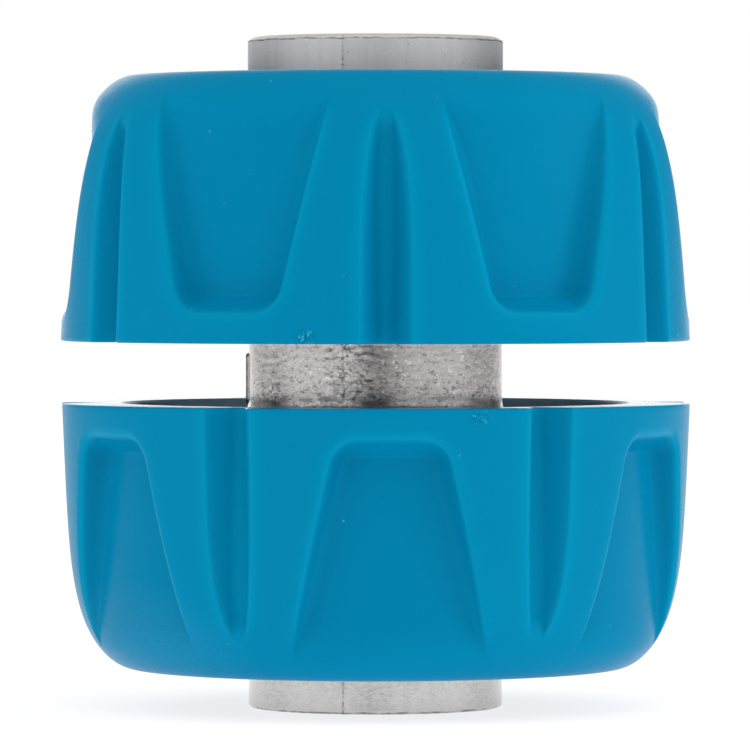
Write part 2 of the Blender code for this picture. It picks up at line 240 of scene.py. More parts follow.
# Colours of the nuts
BLUE_CLOUD = ((0.0, 0.209, 0.384), (0.0, 0.221, 0.404))
# Lip, wall and groove colours are painted highlight, painted shade and painted light
LIP_HIGHLIGHT_BLUE = (0.0, 0.268, 0.452)
WALL_SHADE_BLUE = (0.0, 0.174, 0.336)
GROOVE_PAINTED_LIGHT_BLUE = (0.0, 0.350, 0.560)
FLECK_BLUE = (0.19, 0.48, 0.66)
# Sheen blue is a painted grazing reflection on the crown
SHEEN_BLUE = (0.16, 0.42, 0.58)
# Mouth blue is a painted reflection on the top of the nut's bore
MOUTH_REFLECTION_BLUE = (0.41, 0.56, 0.65)
TORN_BLUE = (0.06, 0.46, 0.60)
TORN_PIT_BLUE = (0.0, 0.15, 0.33)
WALL_SHADE = 0.4
UPPER_GROOVE_PAINTED_LIGHT = 0.15
LOWER_GROOVE_PAINTED_LIGHT = 0.38
UPPER_FLECK_SEED = 3.0
LOWER_FLECK_SEED = 8.0

# Textures of the nuts: noise scales per millimetre, and ranges of two inputs and their outputs
BLUE_CLOUD_SCALE = 0.12
BLUE_GRAIN_SCALE = 9.0
FLECK_SCALE = 2.6
FLECK_RANGE = (0.80, 0.84, 0.0, 0.45)
SPECKLE_SCALE = 6.0
SPECKLE_RANGE = (0.35, 0.65, 0.04, 0.16)
SHEEN_CORE = 1.0
MOUTH_WIDTH_RANGE = (13.1, 13.3, 1.0, 0.0)
MOUTH_DEPTH_RANGE = (0.5, 0.9, 0.85, 0.0)
RIM_FACE_RANGE = (0.02, 0.1, 1.0, 0.0)
RIM_FACE_GLOSS = 0.1
SCAR_STRETCH = (0.55, 1.0, 1.0)
SCAR_RANGE = (0.12, 0.42, 1.0, 0.0)
CHIP_SCALE = 4.2
TORN_RANGE = (0.56, 0.64, 0.0, 0.9)
TORN_PIT_RANGE = (0.40, 0.48, 0.9, 0.0)
BLUE_ROUGHNESS_RANGE = (0.3, 0.7, 0.20, 0.29)

# Colours of the casting
CAST_CLOUD = ((0.70, 0.68, 0.67), (0.80, 0.78, 0.77))
TOP_TONE = (0.80, 0.772, 0.760)
WORN_TONE = (0.36, 0.345, 0.34)
DULL_TONE = (0.38, 0.36, 0.36)
SCOURED_TONE = (0.22, 0.21, 0.21)
# Flank tone is painted shade on the casting's right side
FLANK_SHADE_TONE = (0.36, 0.35, 0.345)
STREAK_TONE = (0.50, 0.49, 0.485)
GRAIN_TONE = (0.28, 0.27, 0.265)
WRINKLE_TONE = (0.05, 0.045, 0.045)
# Fold tone is a painted highlight on the neck's folds
FOLD_HIGHLIGHT_TONE = (0.95, 0.95, 0.95)
CAST_PIT_TONE = (0.08, 0.08, 0.08)
SEAM_TONE = (0.10, 0.10, 0.10)
BLOT_TONE = (0.06, 0.055, 0.055)
# Rib and edge tones are painted shade: dark reflection along the flash rib, shade and dark reflection
# along the bevels
RIB_SHADE_TONE = (0.10, 0.10, 0.105)
EDGE_SHADE_TONE = (0.16, 0.155, 0.15)

# Zones of the casting: ranges of height, of rise from the middle, or of distance from the seam
TOP_RANGE = (29.0, 31.0, 0.0, 1.0)
BOTTOM_RANGE = (3.0, 5.0, 1.0, 0.0)
NECK_RANGE = (3.0, 5.0, 1.0, 0.0)
LOW_NECK_RANGE = (-1.6, -0.2, 1.0, 0.0)
DULL_RANGE = (0.2, 1.6, 0.0, 1.0)
SCOURED_RANGE = (2.2, 3.4, 1.0, 0.0)
FLANK_SHADE_RANGE = (5.2, 6.3, 0.0, 0.3)
BY_SEAM_RANGE = (0.3, 1.6, 1.0, 0.0)
BESIDE_SEAM_RANGE = (0.15, 0.75, 1.0, 0.0)

# Colour of the casting in layers: zone, colour and strength, the later over the earlier
CAST_LAYERS = (
    ("top", TOP_TONE, 1.0),
    ("bottom", WORN_TONE, 0.32),
    ("neck", WORN_TONE, 0.44),
    ("dull", DULL_TONE, 0.40),
    ("scoured", SCOURED_TONE, 0.50),
    # The flank layer is painted shade on the right side
    ("flank", FLANK_SHADE_TONE, 1.0),
)

# Roughness of the casting, and what a zone adds to it
CAST_ROUGHNESS = 0.28
ZONE_ROUGHNESS = (("top", 0.27), ("neck", -0.12), ("bottom", -0.08))
GRAIN_ROUGHNESS_RANGE = (0.3, 0.7, -0.03, 0.05)

# Textures of the casting: noise scales round, outward and up, and ranges
CAST_CLOUD_SCALE = 0.5
STREAK_SCALE = (2.6, 0.5, 0.12)
STREAK_RANGE = (0.45, 0.7, 0.0, 0.16)
CAST_GRAIN_STRETCH = (1.0, 1.0, 1.4)
CAST_GRAIN_SCALE = 6.5
CAST_GRAIN_RANGE = (0.35, 0.65, 0.0, 1.0)
GRAIN_COVER = 0.06
NECK_GRAIN_COVER = 0.18
SCOURED_GRAIN_COVER = 0.30
CAST_PIT_SCALE = (5.6, 5.0, 6.0)
PIT_SPOT_SCALE = 0.33
PIT_EDGE = 0.90
PIT_SPOT_SHARE = 0.28
PIT_STEEPNESS = 20.0
CAST_PIT_RANGE = (0.0, 1.0, 0.0, 0.7)
FOLD_HIGHLIGHT_COVER = 0.4

# Wrinkles: scale, width of a line, and scale of the patches that keep them
WRINKLE_LINES = ((2.2, 2.0, 6.6), 0.045, (2.0, 2.0, 3.4))
FINE_LINES = ((4.2, 3.6, 10.0), 0.06, (3.0, 3.0, 4.5))
# Fold lines carry the painted highlight
FOLD_HIGHLIGHT_LINES = ((2.6, 2.4, 7.5), 0.05, (2.1, 2.0, 2.0))
LINE_DISTORTION = 0.7
PATCH_RANGE = (0.54, 0.60, 0.0, 1.0)
WRINKLE_DARKNESS = 0.6
FINE_DARKNESS = 0.4

# What is added to the patches: everywhere, by the parting line, and at the neck's foot
WRINKLE_SPREAD = -0.075
SEAM_SPREAD = 0.10
LOW_NECK_SPREAD = 0.08
FINE_SPREAD = 0.03
FOLD_HIGHLIGHT_SPREAD = -0.04

# Dirt of the casting in the parting line and in blots beside it; painted shade by the flash rib and on
# the bevels
SWAY_SCALE = (0.0, 0.0, 5.0)
SWAY_RANGE = (0.3, 0.7, -0.06, 0.06)
SEAM_RANGE = (0.02, 0.06, 1.0, 0.0)
SEAM_DIRT_SCALE = (0.4, 1.0, 6.5)
SEAM_DIRT_RANGE = (0.44, 0.66, 0.15, 0.75)
BLOT_SCALE = (2.6, 2.0, 4.0)
BLOT_RANGE = (0.58, 0.68, 0.0, 0.7)
RIB_SHADE_RANGE = (0.2, 0.45, 0.75, 0.0)
WOBBLE_SCALE = (1.3, 1.0, 1.0)
WOBBLE_RANGE = (0.3, 0.7, -0.03, 0.03)
EDGE_PATCH_SCALE = (2.4, 1.0, 1.0)
EDGE_PATCH_RANGE = (0.35, 0.6, 0.35, 0.85)
UPPER_EDGE_HEIGHT = (cad_high.z - UPPER_END_DROP - UPPER_BEVEL[1]) / MM - 0.03
LOWER_EDGE_HEIGHT = LOWER_BEVEL[1] / MM / 2
EDGE_SHADE_LINES = ((UPPER_EDGE_HEIGHT, 0.05), (LOWER_EDGE_HEIGHT, 0.08))

# Colours of the collets
COLLET_CLOUD = ((0.028, 0.031, 0.034), (0.044, 0.047, 0.052))
COLLET_RUB_TONE = (0.075, 0.078, 0.082)

# Textures of the collets
COLLET_CLOUD_SCALE = 0.4
COLLET_RUB_SCALE = (0.6, 0.6, 7.0)
COLLET_RUB_RANGE = (0.58, 0.70, 0.0, 0.5)
COLLET_GRAIN_SCALE = 6.0
COLLET_ROUGHNESS_RANGE = (0.3, 0.7, 0.4, 0.52)

# Bumps: strength, and height in metres
BLUE_GRAIN_BUMP = (0.2, 0.00004)
SCAR_BUMP = (0.8, 0.0002)
WRINKLE_BUMP = (0.12, -0.00003)
CAST_GRAIN_BUMP = (0.06, 0.00002)
CAST_CLOUD_BUMP = (0.06, 0.0001)
COLLET_GRAIN_BUMP = (0.2, 0.00004)

# Studio floor: paint and glow where it is seen, also in a gloss, and for the light that it gives
FLOOR_HALF_WIDTH = 3.0
FLOOR_DROP = 0.00002
SEEN_PAINT = 0.3
SEEN_GLOW = 0.8
FLOOR_PAINT = 0.9
FLOOR_GLOW = 0.46

# Light tent: level of its wall against the azimuth, 0 at the camera, positive to its right
TENT_LEVELS = (
    (-180, 1.8),
    (-165, 1.7),
    (-155, 0.7),
    (-142, 0.36),
    (-118, 0.25),
    (-104, 0.05),
    (-92, 0.25),
    (-80, 0.78),
    (-50, 0.77),
    (-18, 0.77),
    (-9, 0.08),
    (9, 0.08),
    (18, 0.7),
    (50, 0.74),
    (88, 0.74),
    (103, 0.28),
    (142, 0.14),
    (155, 0.35),
    (165, 1.6),
    (180, 1.8),
)

# The tent's roof: where it takes over from the wall, and its level from the front to the back
ROOF_BLEND_RANGE = (0.25, 0.7, 0.0, 1.0)
ROOF_RANGE = (-0.2, 0.6, 1.0, 0.5)

# Softboxes: name, azimuth, elevation, width, height, power
SOFTBOX_DISTANCE = 0.6
SOFTBOXES = (
    ("left_softbox", -88.0, 0.0, 0.3, 0.6, 0.95),
    ("right_softbox", 85.0, 0.0, 0.3, 0.6, 1.8),
    ("top_softbox", 30.0, 80.0, 0.3, 0.3, 0.6),
)

# Camera, in front of the object and a little above its middle
CAMERA_DISTANCE = 0.340
CAMERA_RISE = 0.0055
CAMERA_AIM = Vector((-0.00002, 0.0, MIDDLE - 0.00018))
CAMERA_LENS = 320.0
CAMERA_SENSOR = 36.0
CAMERA_CLIP = (0.01, 20.0)


def ring_points(radius, angles, height):
    """Points of one ring; radius may be a number or one value for each angle."""
    radius = np.broadcast_to(radius, angles.shape)
    height = np.broadcast_to(height, angles.shape)
    return np.stack([radius * np.cos(angles), radius * np.sin(angles), height], axis=1)


def mesh_from_rings(name, rings):
    """Closed mesh from rings of points; neighbours have equal counts, or one has double."""
    starts = np.cumsum([0] + [len(ring) for ring in rings])
    faces = []
    for index, ring in enumerate(rings):
        after = (index + 1) % len(rings)
        first = np.arange(len(ring)) + starts[index]
        second = np.arange(len(rings[after])) + starts[after]
        faces.extend(bridge_faces(first, second))
    mesh = bpy.data.meshes.new(name)
    mesh.from_pydata(np.concatenate(rings).tolist(), [], faces)
    mesh.update()
    return mesh


def bridge_faces(first, second):
    count = len(first)
    if len(second) == count:
        next_first = np.roll(first, -1)
        next_second = np.roll(second, -1)
        return np.stack([first, next_first, next_second, second], axis=1).tolist()
    if len(second) > count:
        return [face[::-1] for face in bridge_faces(second, first)]
    faces = []
    for index in range(len(second)):
        near = first[2 * index]
        middle = first[2 * index + 1]
        far = first[(2 * index + 2) % count]
        after = second[(index + 1) % len(second)]
        faces.append([int(near), int(middle), int(second[index])])
        faces.append([int(middle), int(after), int(second[index])])
        faces.append([int(middle), int(far), int(after)])
    return faces


def add_piece(name, mesh, material, body, node):
    mesh.materials.append(material)
    piece = bpy.data.objects.new(name, mesh)
    bpy.context.collection.objects.link(piece)
    mesh.shade_smooth()
    mesh.set_sharp_from_angle(angle=math.radians(32.0))
    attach(piece, body)
    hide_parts(node)


def mesh_points(mesh):
    points = np.empty(len(mesh.vertices) * 3)
    mesh.vertices.foreach_get("co", points)
    return points.reshape(-1, 3)


def soft_step(share):
    """0 to 1 with rounded ends and a straight middle."""
    share = np.clip(share, 0.0, 1.0)
    lip = 0.38
    foot = 0.30
    slope = 1.0 / (1.0 - lip / 2 - foot / 2)
    rise = slope * share**2 / (2 * lip)
    straight = slope * (share - lip / 2)
    fall = 1.0 - slope * (1.0 - share) ** 2 / (2 * foot)
    return np.where(share < lip, rise, np.where(share > 1.0 - foot, fall, straight))


def smooth_max(first, second, rounding):
    near = np.maximum(rounding - np.abs(first - second), 0.0)
    return np.maximum(first, second) + near**2 / (4 * rounding)


def envelope_radius(height):
    share = np.clip(height / NUT_HEIGHT, 0.0, 1.0)
    crown = 1.0 - (1.0 - share**CROWN_POWER) ** CROWN_ROUNDING
    return RIM_RADIUS - SIDE_DRAFT * height - CROWN_DROP * crown


def groove_half_width(height):
    share = np.clip(height / GROOVE_LENGTH, 0.0, 1.0)
    beyond = np.maximum(height - GROOVE_LENGTH, 0.0)
    return GROOVE_HALF_WIDTH * (1.0 - share**GROOVE_TIP_POWER) ** GROOVE_TIP_ROUNDING - beyond


def pocket_half_width(height):
    return POCKET_HALF_WIDTH + POCKET_FLARE * (height - POCKET_END)


def floor_depth(height):
    """Depth of the grip's floor under the envelope, running out softly in the crown."""
    return float(smooth_max(envelope_radius(height) - GRIP_FLOOR_RADIUS, 0.0, FLOOR_RUN_OUT))


def hollow_depth(inside, floor, slope, lip_radius, foot_radius):
    """Depth at a distance inside a lip line: rounded lip, straight wall, rounded foot, floor."""
    tilt = np.arctan(slope)
    bend = np.tan(tilt / 2)
    room = ROUNDED_SHARE * floor / np.sin(tilt)
    fit = np.minimum(1.0, room / (bend * (lip_radius + foot_radius)))
    lip = lip_radius * fit
    foot = foot_radius * fit
    past_lip = np.maximum(inside + lip * bend, 0.0)
    before_foot = np.maximum(floor / slope + foot * bend - inside, 0.0)
    lip_reach = lip * np.sin(tilt)
    foot_reach = foot * np.sin(tilt)
    lip_arc = lip - np.sqrt(lip**2 - np.minimum(past_lip, lip_reach) ** 2)
    foot_arc = floor - foot + np.sqrt(foot**2 - np.minimum(before_foot, foot_reach) ** 2)
    depth = np.where(before_foot < foot_reach, foot_arc, slope * inside)
    return np.where(past_lip < lip_reach, lip_arc, depth)


def pocket_inside(across, height):
    """Distance inside a pocket's lip line, and how far that line is the ledge's."""
    beside = pocket_half_width(height) - np.abs(across)
    above = np.broadcast_to(height - POCKET_END, beside.shape)
    to_side = np.maximum(POCKET_CORNER - beside, 0.0)
    to_ledge = np.maximum(POCKET_CORNER - above, 0.0)
    reach = np.hypot(to_side, to_ledge)
    ledge_share = to_ledge**2 / np.maximum(reach, LEAST_LENGTH) ** 2
    return POCKET_CORNER - reach, ledge_share


def grip_depth(across_groove, across_pocket, height):
    """Depth of the grip at a distance from the nearest groove's and pocket's centre lines."""
    floor = floor_depth(height)
    if floor < LEAST_FLOOR:
        return np.zeros(len(across_groove))
    in_groove = groove_half_width(height) - np.abs(across_groove)
    tip = float(soft_step((GROOVE_LENGTH - height) / GROOVE_RUN_OUT))
    groove_floor = max(floor * tip, LEAST_LENGTH)
    groove = hollow_depth(in_groove, groove_floor, GROOVE_SLOPE, GROOVE_LIP_RADIUS, GROOVE_FOOT_RADIUS)
    in_pocket, ledge_share = pocket_inside(across_pocket, height)
    slope = SIDE_SLOPE + (LEDGE_SLOPE - SIDE_SLOPE) * ledge_share
    lip = SIDE_LIP_RADIUS + (LEDGE_LIP_RADIUS - SIDE_LIP_RADIUS) * ledge_share
    foot = SIDE_FOOT_RADIUS + (LEDGE_FOOT_RADIUS - SIDE_FOOT_RADIUS) * ledge_share
    return np.maximum(groove, hollow_depth(in_pocket, floor, slope, lip, foot))


def lip_highlight_band(inside):
    """Painted highlight: 1 just outside a lip line, fading over the land beside it."""
    rise = np.clip((-inside - LIP_BAND_START) / LIP_BAND_RISE, 0.0, 1.0)
    return rise * np.exp(-np.maximum(-inside, 0.0) / LIP_BAND_WIDTH)


def mark_grip_light_and_shade(mesh):
    """Store how much each point takes a lip's painted highlight, a pocket wall's painted shade, or a
    groove's painted light.
    """
    x, y, z = mesh_points(mesh).T
    height = z - NUT_MOUTH
    sector = 2 * math.pi / POCKET_COUNT
    angle = np.arctan2(y, x) % sector
    across_groove = np.minimum(angle, sector - angle) * RIM_RADIUS
    in_groove = groove_half_width(height) + GROOVE_BAND_OFFSET - across_groove
    in_pocket, ledge_share = pocket_inside((angle - sector / 2) * RIM_RADIUS, height)
    depth = np.maximum(envelope_radius(height) - GRIP_FLOOR_RADIUS, 0.0)
    fade = np.clip(depth / SHADE_FADE_DEPTH, 0.0, 1.0)
    outside = np.hypot(x, y) > GRIP_FLOOR_RADIUS - MARKED_SKIN
    # Painted highlight along the lips
    lip_highlights = np.maximum(lip_highlight_band(in_groove), lip_highlight_band(in_pocket)) * fade * outside
    # Painted shade by the pocket walls
    past_lip = np.clip(in_pocket / WALL_SHADE_RISE, 0.0, 1.0)
    wall = past_lip * np.exp(-np.maximum(in_pocket - WALL_SHADE_START, 0.0) / WALL_SHADE_WIDTH)
    wall = wall * (1.0 - ledge_share) * fade * outside
    # Painted light down in the grooves
    groove = np.clip((in_groove - GROOVE_BAND_OFFSET) / GROOVE_PAINTED_LIGHT_RISE, 0.0, 1.0) * fade * outside
    for name, values in (("lip", lip_highlights), ("wall", wall), ("groove", groove)):
        mesh.attributes.new(name, "FLOAT", "POINT").data.foreach_set("value", values)


def grip_angles(height):
    """Column angles of one row, gathered along the edges of grooves and pockets."""
    pitch = math.pi / POCKET_COUNT
    half = max(float(groove_half_width(height)), GROOVE_LEAST_HALF) / RIM_RADIUS
    edge = pitch - float(pocket_half_width(height)) / RIM_RADIUS
    lip = LIP_COLUMNS_REACH / RIM_RADIUS
    wall = WALL_COLUMNS_REACH / RIM_RADIUS
    bottom = GROOVE_BOTTOM_SHARE * half
    between = (half + edge) / 2
    stops = (0.0, bottom, min(half + lip, between), max(edge - lip, between), edge + wall, pitch)
    half_row = [
        np.linspace(stops[index], stops[index + 1], columns, endpoint=False)
        for index, columns in enumerate(GRIP_COLUMNS)
    ]
    half_row = np.concatenate(half_row)
    sector = np.concatenate([half_row, [pitch], 2 * pitch - half_row[:0:-1]])
    return np.concatenate([sector + 2 * pitch * turn for turn in range(POCKET_COUNT)])


def nut_row_heights():
    rim = RIM_ROUNDING * np.array(RIM_ROWS)
    ledge = np.linspace(POCKET_END - LEDGE_ROWS_BEFORE, POCKET_END + LEDGE_ROWS_BEYOND, LEDGE_ROWS)
    crown_share = np.sin(np.linspace(0.0, math.pi / 2, CROWN_ROWS + 1)[1:])
    crown = ledge[-1] + (NUT_HEIGHT - ledge[-1]) * crown_share
    return np.concatenate([rim, ledge, crown])


def thread_ridge(angles, height, start, end, shift):
    """Height share of the thread's ridge on a ring, fading out at both ends."""
    pitch = THREAD_LEAD / THREAD_STARTS
    phase = (height - shift - THREAD_LEAD * angles / (2 * math.pi)) % pitch
    away = np.abs(phase - pitch / 2)
    flank = (THREAD_ROOT_WIDTH - THREAD_CREST_WIDTH) / 2
    ridge = soft_step((THREAD_ROOT_WIDTH / 2 - away) / flank)
    room = min(height - start, end - height)
    return ridge * min(1.0, max(0.0, room / THREAD_RUN_OUT))


def nut_rings():
    rings = []
    for step in range(RIM_STEPS):
        turn = math.pi / 2 * step / RIM_STEPS
        inset = RIM_ROUNDING * (1 - math.sin(turn))
        rings.append(outer_ring(RIM_ROUNDING * (1 - math.cos(turn)), inset))
    for height in nut_row_heights():
        rings.append(outer_ring(height, 0.0))
    angles = grip_angles(0.0)[::2]
    start = NUT_THREAD_START
    end = NUT_THREAD_START + NUT_THREAD_LENGTH
    for wider, depth in ENTRY_ROUNDING:
        rings.append(ring_points(HOSE_ENTRY_RADIUS + wider, angles, NUT_END - depth))
    inner = (
        (HOSE_ENTRY_RADIUS, NUT_END - NUT_END_WALL),
        (CONE_END_RADIUS, NUT_END - NUT_END_WALL),
        (CONE_MOUTH_RADIUS, end),
        (NUT_BORE_RADIUS, end),
    )
    for radius, height in inner:
        rings.append(ring_points(radius, angles, height))
    for height in np.linspace(end, start, NUT_THREAD_ROWS + 1)[1:]:
        ridge = thread_ridge(angles, height, start, end, THREAD_LEAD / THREAD_STARTS / 2)
        rings.append(ring_points(NUT_BORE_RADIUS - THREAD_DEPTH * ridge, angles, height))
    for wider, depth in MOUTH_ROUNDING:
        rings.append(ring_points(NUT_BORE_RADIUS + wider, angles, NUT_MOUTH + depth))
    return rings


def outer_ring(height, inset):
    angles = grip_angles(height)
    sector = 2 * math.pi / POCKET_COUNT
    from_groove = (angles + sector / 2) % sector - sector / 2
    from_pocket = angles % sector - sector / 2
    depth = grip_depth(from_groove * RIM_RADIUS, from_pocket * RIM_RADIUS, height)
    return ring_points(envelope_radius(height) - depth - inset, angles, NUT_MOUTH + height)


def place_half(mesh, upside_down, turn):
    """Turn the grip, turn a lower half over about X, and lift it to the middle."""
    points = mesh_points(mesh)
    cos, sin = math.cos(turn), math.sin(turn)
    x = points[:, 0] * cos - points[:, 1] * sin
    y = points[:, 0] * sin + points[:, 1] * cos
    z = points[:, 2]
    if upside_down:
        y, z = -y, -z
    placed = np.stack([x, y, z + MIDDLE], axis=1)
    mesh.vertices.foreach_set("co", placed.ravel())
    mesh.update()


def core_profile(tube_radius, tube_end, bevel):
    """Rows of half of the core's outline, from the middle of the neck to the bore."""
    bevel_width, bevel_height = bevel
    rows = []
    fillet_start = COLLAR_INNER_FACE - NECK_FILLET
    for height in np.linspace(0.0, COLLAR_INNER_FACE - NECK_ROWS_GAP, NECK_ROWS + 1)[1:]:
        rise = max(0.0, height - fillet_start)
        radius = NECK_RADIUS + NECK_FILLET - math.sqrt(max(0.0, NECK_FILLET**2 - rise**2))
        rows.append((radius, height, "fine"))
    rows.append((COLLAR_ROOT_RADIUS - COLLAR_CHAMFER, COLLAR_INNER_FACE, "plain"))
    low = COLLAR_INNER_FACE + COLLAR_CHAMFER
    high = COLLAR_OUTER_FACE - COLLAR_CHAMFER
    for height in np.linspace(low, high, COLLAR_ROWS):
        rows.append((COLLAR_ROOT_RADIUS, height, "thread"))
    rows.append((COLLAR_ROOT_RADIUS - COLLAR_CHAMFER, COLLAR_OUTER_FACE, "plain"))
    rows.append((TUBE_RADIUS, COLLAR_OUTER_FACE, "plain"))
    first_barb = NUT_END - NUT_END_WALL - BARB_COUNT * BARB_LENGTH
    for barb in range(BARB_COUNT):
        shoulder = first_barb + barb * BARB_LENGTH
        rows.append((TUBE_RADIUS, shoulder, "plain"))
        rows.append((TUBE_RADIUS + BARB_HEIGHT, shoulder + BARB_HEIGHT / 4, "plain"))
    last_row = tube_end - ROWS_BEFORE_BEVEL * bevel_height
    for height in np.linspace(NUT_END - NUT_END_WALL, last_row, END_ROWS):
        rows.append((tube_radius, height, "fine"))
    for inset, drop in BEVEL_ROUNDING:
        rows.append((tube_radius - bevel_width * inset, tube_end - bevel_height * drop, "fine"))
    for inset in FACE_ROWS:
        radius = tube_radius - (tube_radius - BORE_RADIUS) * inset
        rows.append((radius, tube_end, "face"))
    rows.append((BORE_RADIUS, tube_end - BORE_CHAMFER, "plain"))
    return rows


def cast_relief(angles, radius, height):
    """Radial relief of the cast skin: waves, wrinkles, pits, parting lines and a flash rib."""
    relief = np.zeros(len(angles))
    z = height / MM
    neck = max(0.0, min(1.0, (NECK_SKIN_END - abs(z)) / NECK_SKIN_FADE))
    under_top = max(0.0, (FLASH_RIB_TOP - z) / FLASH_RIB_TOP_FADE)
    over_bottom = max(0.0, (z - FLASH_RIB_BOTTOM) / FLASH_RIB_BOTTOM_FADE)
    on_rib = min(1.0, under_top, over_bottom)
    for index, angle in enumerate(angles):
        x = radius * math.cos(angle) / MM
        y = radius * math.sin(angle) / MM
        wave = SKIN_WAVE_HEIGHT * noise.noise(Vector((x, y, z)) * SKIN_WAVE_SCALE)
        sideways, upward = WRINKLE_SCALES
        wrinkle = noise.noise(Vector((x * sideways, y * sideways, z * upward)))
        sideways, upward = PIT_SCALES
        pit = noise.noise(Vector((x * sideways, y * sideways, z * upward)) + PIT_SHIFT)
        across = seam_distance(angle) * radius / MM
        by_seam = math.exp(-((across / SEAM_ROUGHNESS_WIDTH) ** 2))
        rough = PLAIN_ROUGHNESS + neck * (NECK_ROUGHNESS + SEAM_ROUGHNESS * by_seam)
        skin = rough * (WRINKLE_HEIGHT * wrinkle - PIT_DEPTH * max(0.0, pit - PIT_LEVEL))
        along = noise.noise(Vector((*SEAM_WAVE_PLACE, z * SEAM_WAVE_SCALE)))
        seam = SEAM_HEIGHT * math.exp(-((across / SEAM_WIDTH) ** 2)) * (SEAM_MEAN + along)
        beside_rib = abs((angle - FLASH_RIB_ANGLE + math.pi) % (2 * math.pi) - math.pi)
        rib = (FLASH_RIB_HALF_WIDTH - beside_rib * radius / MM) / FLASH_RIB_FLANK + 1.0
        relief[index] = wave + skin + seam + FLASH_RIB_HEIGHT * on_rib * min(1.0, max(0.0, rib))
    return relief * MM


def seam_distance(angle):
    """Angle to the nearer of the two parting lines, which lie opposite each other."""
    away = (angle - SEAM_ANGLE) % math.pi
    return min(away, math.pi - away)


def core_rings():
    even = np.linspace(0.0, 2 * math.pi, CORE_COLUMNS, endpoint=False)
    fine = even + SEAM_ANGLE - SEAM_CROWDING * np.sin(2 * even) / 2
    plain = fine[::2]
    middle = [(NECK_RADIUS, 0.0, "fine")]
    upper = core_profile(TUBE_RADIUS, TUBE_END - UPPER_END_DROP, UPPER_BEVEL)
    lower = core_profile(LOWER_TUBE_RADIUS, TUBE_END, LOWER_BEVEL)
    lower = [(radius, -height, kind) for radius, height, kind in lower]
    rings = []
    start = COLLAR_INNER_FACE + COLLAR_CHAMFER / 2
    end = COLLAR_OUTER_FACE - COLLAR_CHAMFER / 2
    for radius, height, kind in lower[::-1] + middle + upper:
        if kind == "fine":
            rings.append(ring_points(radius + cast_relief(fine, radius, height), fine, height))
        elif kind == "face":
            dents = np.abs(cast_relief(plain, radius, height) * FACE_DENTS)
            rings.append(ring_points(radius, plain, height - math.copysign(1.0, height) * dents))
        elif kind == "thread":
            turned = plain if height > 0 else -plain
            ridge = thread_ridge(turned, abs(height), start, end, 0.0)
            rings.append(ring_points(radius + THREAD_DEPTH * ridge, plain, height))
        else:
            rings.append(ring_points(radius, plain, height))
    return rings


def node(tree, kind, **settings):
    made = tree.nodes.new(kind)
    for key, value in settings.items():
        setattr(made, key, value)
    return made


def new_material(name):
    material = bpy.data.materials.new(name)
    material.use_nodes = True
    tree = material.node_tree
    return material, tree, tree.nodes["Principled BSDF"]


def scaled(tree, vector, scale):
    mapping = node(tree, "ShaderNodeMapping")
    mapping.inputs["Scale"].default_value = scale
    tree.links.new(vector, mapping.inputs["Vector"])
    return mapping.outputs["Vector"]


def object_coordinates(tree):
    """Object coordinates in millimetres."""
    place = node(tree, "ShaderNodeTexCoord")
    return scaled(tree, place.outputs["Object"], (1.0 / MM, 1.0 / MM, 1.0 / MM))


def separated(tree, vector):
    """The X, Y and Z outputs of a vector."""
    axes = node(tree, "ShaderNodeSeparateXYZ")
    tree.links.new(vector, axes.inputs["Vector"])
    return axes.outputs


def math_node(tree, operation, first, second=None):
    made = node(tree, "ShaderNodeMath", operation=operation)
    for index, value in enumerate((first, second)):
        if isinstance(value, (int, float)):
            made.inputs[index].default_value = value
        elif value is not None:
            tree.links.new(value, made.inputs[index])
    return made.outputs["Value"]


def add(tree, first, second):
    return math_node(tree, "ADD", first, second)


def subtract(tree, first, second):
    return math_node(tree, "SUBTRACT", first, second)


def multiply(tree, first, second):
    return math_node(tree, "MULTIPLY", first, second)


def absolute(tree, value):
    return math_node(tree, "ABSOLUTE", value)


def axis_distance(tree, axes):
    """Distance from the Z axis of a separated vector."""
    squares = [multiply(tree, axes[name], axes[name]) for name in "XY"]
    return math_node(tree, "SQRT", add(tree, *squares))


def distance_to(tree, place, point, scale=(1.0, 1.0, 1.0)):
    """Distance in millimetres from a point in metres, with each axis scaled."""
    away = node(tree, "ShaderNodeVectorMath", operation="DISTANCE")
    tree.links.new(scaled(tree, place, scale), away.inputs[0])
    away.inputs[1].default_value = tuple(share * axis / MM for share, axis in zip(scale, point))
    return away.outputs["Value"]


def noise_texture(tree, vector, scale, detail=2.0, roughness=0.5, distortion=0.0):
    """Noise; scale is one number, or one for each axis."""
    if isinstance(scale, tuple):
        vector = scaled(tree, vector, scale)
        scale = 1.0
    texture = node(tree, "ShaderNodeTexNoise")
    texture.inputs["Scale"].default_value = scale
    texture.inputs["Detail"].default_value = detail
    texture.inputs["Roughness"].default_value = roughness
    texture.inputs["Distortion"].default_value = distortion
    tree.links.new(vector, texture.inputs["Vector"])
    return texture.outputs["Fac"]


def map_range(tree, value, low, high, to_low, to_high):
    mapped = node(tree, "ShaderNodeMapRange")
    sockets = ("From Min", "From Max", "To Min", "To Max")
    for socket, number in zip(sockets, (low, high, to_low, to_high)):
        mapped.inputs[socket].default_value = number
    tree.links.new(value, mapped.inputs["Value"])
    return mapped.outputs["Result"]


def mix_colours(tree, factor, first, second):
    mix = node(tree, "ShaderNodeMix", data_type="RGBA")
    for socket, value in ((6, first), (7, second)):
        if isinstance(value, tuple):
            mix.inputs[socket].default_value = (*value, 1.0)
        else:
            tree.links.new(value, mix.inputs[socket])
    tree.links.new(factor, mix.inputs[0])
    return mix.outputs[2]


def tint(tree, tone, colour, cover, strength=1.0):
    """Mix a colour into a tone as far as cover says, by a strength."""
    return mix_colours(tree, multiply(tree, cover, strength), tone, colour)


def bump(tree, height, size, normal=None):
    """Bump on top of an earlier one; size is its strength and height."""
    strength, distance = size
    made = node(tree, "ShaderNodeBump")
    made.inputs["Strength"].default_value = strength
    made.inputs["Distance"].default_value = distance
    tree.links.new(height, made.inputs["Height"])
    if normal is not None:
        tree.links.new(normal, made.inputs["Normal"])
    return made.outputs["Normal"]


